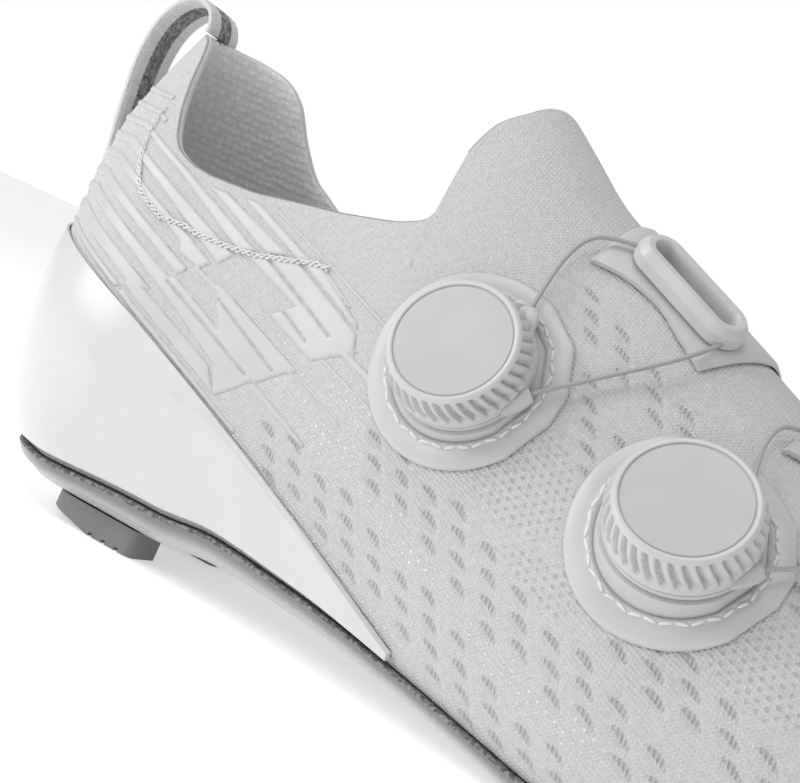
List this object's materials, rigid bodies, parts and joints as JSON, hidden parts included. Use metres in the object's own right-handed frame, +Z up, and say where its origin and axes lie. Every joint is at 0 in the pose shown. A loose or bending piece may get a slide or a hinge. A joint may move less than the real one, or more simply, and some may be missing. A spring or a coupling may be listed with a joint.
{
  "type": "road cycling shoe",
  "caption": "Right road cycling shoe: sock-like knit upper open at the collar, stiff sole with heel pads, glossy heel counter, lace dials, lace guides on straps and a pull loop.",
  "frame": {"origin": "middle of the flat spot under the ball of the foot, on the plane the shoe stands on", "axes": "+X toward the toe, +Y toward the inner side of the foot, +Z up"},
  "size_m": [0.2846, 0.1048, 0.1227],
  "materials": {
    "knit": "matte knit with fine ribs",
    "gloss_shell": "glossy moulded shell",
    "sole_plate": "silver-grey composite plate",
    "pad_rubber": "matte grey rubber",
    "foam": "fabric-topped foam",
    "film": "satin film",
    "dial_plastic": "satin moulded plastic",
    "lace": "thin coated lace",
    "tape": "woven tape with a grey stripe"
  },
  "bodies": {
    "root": {"sole": "sole_plate", "insole": "foam", "heel_pad_outer": "pad_rubber", "heel_pad_inner": "pad_rubber", "upper": "knit", "heel_counter": "gloss_shell", "pull_loop": "tape", "dial_flange_upper": "film", "dial_housing_upper": "dial_plastic", "dial_knob_upper": "dial_plastic", "dial_flange_lower": "film", "dial_housing_lower": "dial_plastic", "dial_knob_lower": "dial_plastic", "strap_plate_upper": "film", "strap_plate_lower": "film", "lace_guide_upper": "dial_plastic", "lace_guide_lower": "dial_plastic", "lace_upper": "lace", "lace_lower": "lace"}
  },
  "joints": []
}
